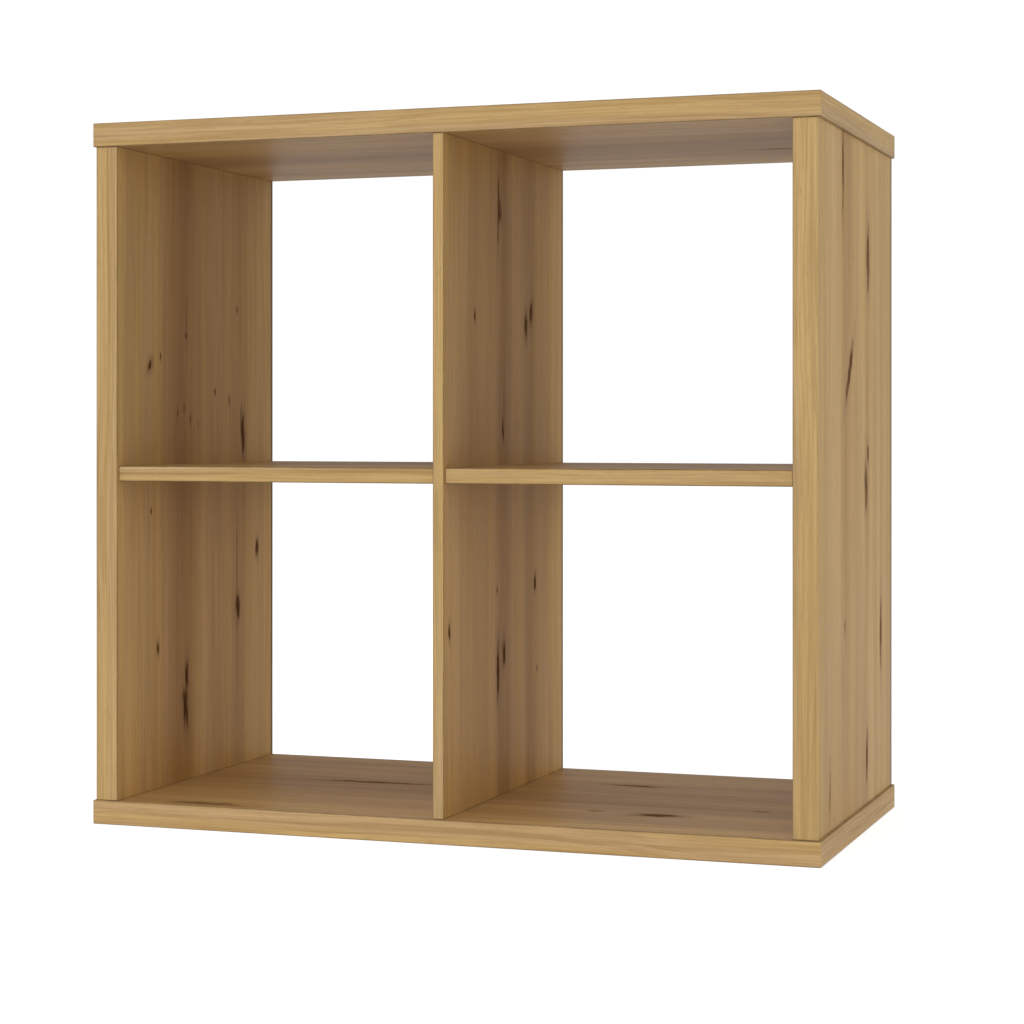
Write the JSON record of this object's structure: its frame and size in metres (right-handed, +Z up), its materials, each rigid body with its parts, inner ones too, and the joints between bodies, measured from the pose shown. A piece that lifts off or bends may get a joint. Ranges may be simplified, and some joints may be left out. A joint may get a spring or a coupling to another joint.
{
  "type": "cube storage unit",
  "caption": "Open square shelf unit with four open cubes, thick frame boards and thinner inner boards, in knotty oak finish.",
  "frame": {"origin": "middle of the underside of the bottom panel, on the floor", "axes": "+X to the right seen from the front, +Y to the back, +Z up"},
  "size_m": [0.78, 0.39, 0.74],
  "materials": {
    "oak_board": "particleboard with a matt knotty oak decor foil, grain along each board",
    "oak_edge_band": "1 mm ABS edge band in the same oak decor",
    "oak_plastic_cap": "moulded cover cap in oak colour",
    "beech_dowel": "raw fluted beech",
    "zinc_plated_steel": "bright zinc plated steel",
    "cast_zinc": "die-cast zinc alloy, dull"
  },
  "bodies": {
    "cabinet": {"bottom_panel": "oak_board", "bottom_front_band": "oak_edge_band", "bottom_back_band": "oak_edge_band", "bottom_left_band": "oak_edge_band", "bottom_right_band": "oak_edge_band", "top_panel": "oak_board", "top_front_band": "oak_edge_band", "top_back_band": "oak_edge_band", "top_left_band": "oak_edge_band", "top_right_band": "oak_edge_band", "left_side": "oak_board", "left_side_front_band": "oak_edge_band", "left_side_back_band": "oak_edge_band", "right_side": "oak_board", "right_side_front_band": "oak_edge_band", "right_side_back_band": "oak_edge_band", "centre_divider": "oak_board", "divider_front_band": "oak_edge_band", "divider_back_band": "oak_edge_band", "left_shelf": "oak_board", "left_shelf_front_band": "oak_edge_band", "left_shelf_back_band": "oak_edge_band", "right_shelf": "oak_board", "right_shelf_front_band": "oak_edge_band", "right_shelf_back_band": "oak_edge_band", "bottom_left_dowels": "beech_dowel", "bottom_right_dowels": "beech_dowel", "top_left_dowels": "beech_dowel", "top_right_dowels": "beech_dowel", "divider_bottom_dowels": "beech_dowel", "divider_top_dowels": "beech_dowel", "left_shelf_dowels": "beech_dowel", "right_shelf_dowels": "beech_dowel", "divider_shelf_dowels": "beech_dowel", "bottom_left_screws": "zinc_plated_steel", "bottom_right_screws": "zinc_plated_steel", "top_left_screws": "zinc_plated_steel", "top_right_screws": "zinc_plated_steel", "top_left_caps": "oak_plastic_cap", "top_right_caps": "oak_plastic_cap", "left_cam_bolts": "zinc_plated_steel", "right_cam_bolts": "zinc_plated_steel", "divider_cam_bolts": "zinc_plated_steel"},
    "left_outer_front_cam": {"left_outer_front_cam": "cast_zinc"},
    "left_outer_back_cam": {"left_outer_back_cam": "cast_zinc"},
    "left_inner_front_cam": {"left_inner_front_cam": "cast_zinc"},
    "left_inner_back_cam": {"left_inner_back_cam": "cast_zinc"},
    "right_inner_front_cam": {"right_inner_front_cam": "cast_zinc"},
    "right_inner_back_cam": {"right_inner_back_cam": "cast_zinc"},
    "right_outer_front_cam": {"right_outer_front_cam": "cast_zinc"},
    "right_outer_back_cam": {"right_outer_back_cam": "cast_zinc"}
  },
  "joints": [
    {"name": "left_outer_front_cam_turn", "type": "hinge", "parent": "cabinet", "child": "left_outer_front_cam", "pos_m": [-0.328, -0.131, 0.362], "axis": [0, 0, -1], "range_deg": [0, 180]},
    {"name": "left_outer_back_cam_turn", "type": "hinge", "parent": "cabinet", "child": "left_outer_back_cam", "pos_m": [-0.328, 0.131, 0.362], "axis": [0, 0, -1], "range_deg": [0, 180]},
    {"name": "left_inner_front_cam_turn", "type": "hinge", "parent": "cabinet", "child": "left_inner_front_cam", "pos_m": [-0.04, -0.131, 0.362], "axis": [0, 0, -1], "range_deg": [0, 180]},
    {"name": "left_inner_back_cam_turn", "type": "hinge", "parent": "cabinet", "child": "left_inner_back_cam", "pos_m": [-0.04, 0.131, 0.362], "axis": [0, 0, -1], "range_deg": [0, 180]},
    {"name": "right_inner_front_cam_turn", "type": "hinge", "parent": "cabinet", "child": "right_inner_front_cam", "pos_m": [0.04, -0.131, 0.362], "axis": [0, 0, -1], "range_deg": [0, 180]},
    {"name": "right_inner_back_cam_turn", "type": "hinge", "parent": "cabinet", "child": "right_inner_back_cam", "pos_m": [0.04, 0.131, 0.362], "axis": [0, 0, -1], "range_deg": [0, 180]},
    {"name": "right_outer_front_cam_turn", "type": "hinge", "parent": "cabinet", "child": "right_outer_front_cam", "pos_m": [0.328, -0.131, 0.362], "axis": [0, 0, -1], "range_deg": [0, 180]},
    {"name": "right_outer_back_cam_turn", "type": "hinge", "parent": "cabinet", "child": "right_outer_back_cam", "pos_m": [0.328, 0.131, 0.362], "axis": [0, 0, -1], "range_deg": [0, 180]}
  ]
}
